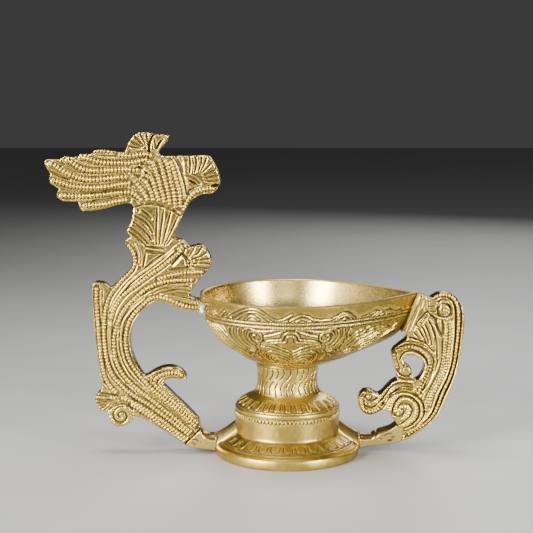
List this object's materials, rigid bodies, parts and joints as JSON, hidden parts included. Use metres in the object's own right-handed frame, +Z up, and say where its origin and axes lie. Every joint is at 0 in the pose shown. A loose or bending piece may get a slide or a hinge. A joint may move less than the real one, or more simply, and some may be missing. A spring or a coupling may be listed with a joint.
{
  "type": "brass pedestal oil lamp",
  "caption": "Brass table oil lamp: teardrop bowl on a turned pedestal, flanked by a flat cast bird-and-plume panel and a flat cast scroll panel brazed to bowl and foot.",
  "frame": {"origin": "middle of the object's bounding box at the floor plane; the pedestal axis is at x = +15.06 mm, y = 0", "axes": "+X from the bird panel towards the bowl's pointed tip, +Y away from the viewer across the bowl, +Z up"},
  "size_m": [0.199, 0.088, 0.1548],
  "materials": {
    "bowl_brass": "chased and antiqued outside, satin turned inside",
    "pedestal_brass": "turned and chased, darkened in the recesses",
    "panel_brass": "cast relief, pale buffed high points over dark brown recesses",
    "arm_brass": "cast, dull buffed",
    "braze_brass": "dark, rough braze",
    "solder": "bright solder",
    "steel": "zinc plated"
  },
  "bodies": {
    "root": {"bowl": "bowl_brass", "pedestal": "pedestal_brass", "bird_panel": "panel_brass", "scroll_panel": "panel_brass", "left_foot_arm": "arm_brass", "right_foot_arm": "arm_brass", "centre_stud": "steel", "stud_washer": "steel", "stud_nut": "steel", "left_arm_solder": "solder", "bowl_tip_braze": "braze_brass", "left_foot_braze": "braze_brass", "right_foot_braze": "braze_brass"}
  },
  "joints": []
}
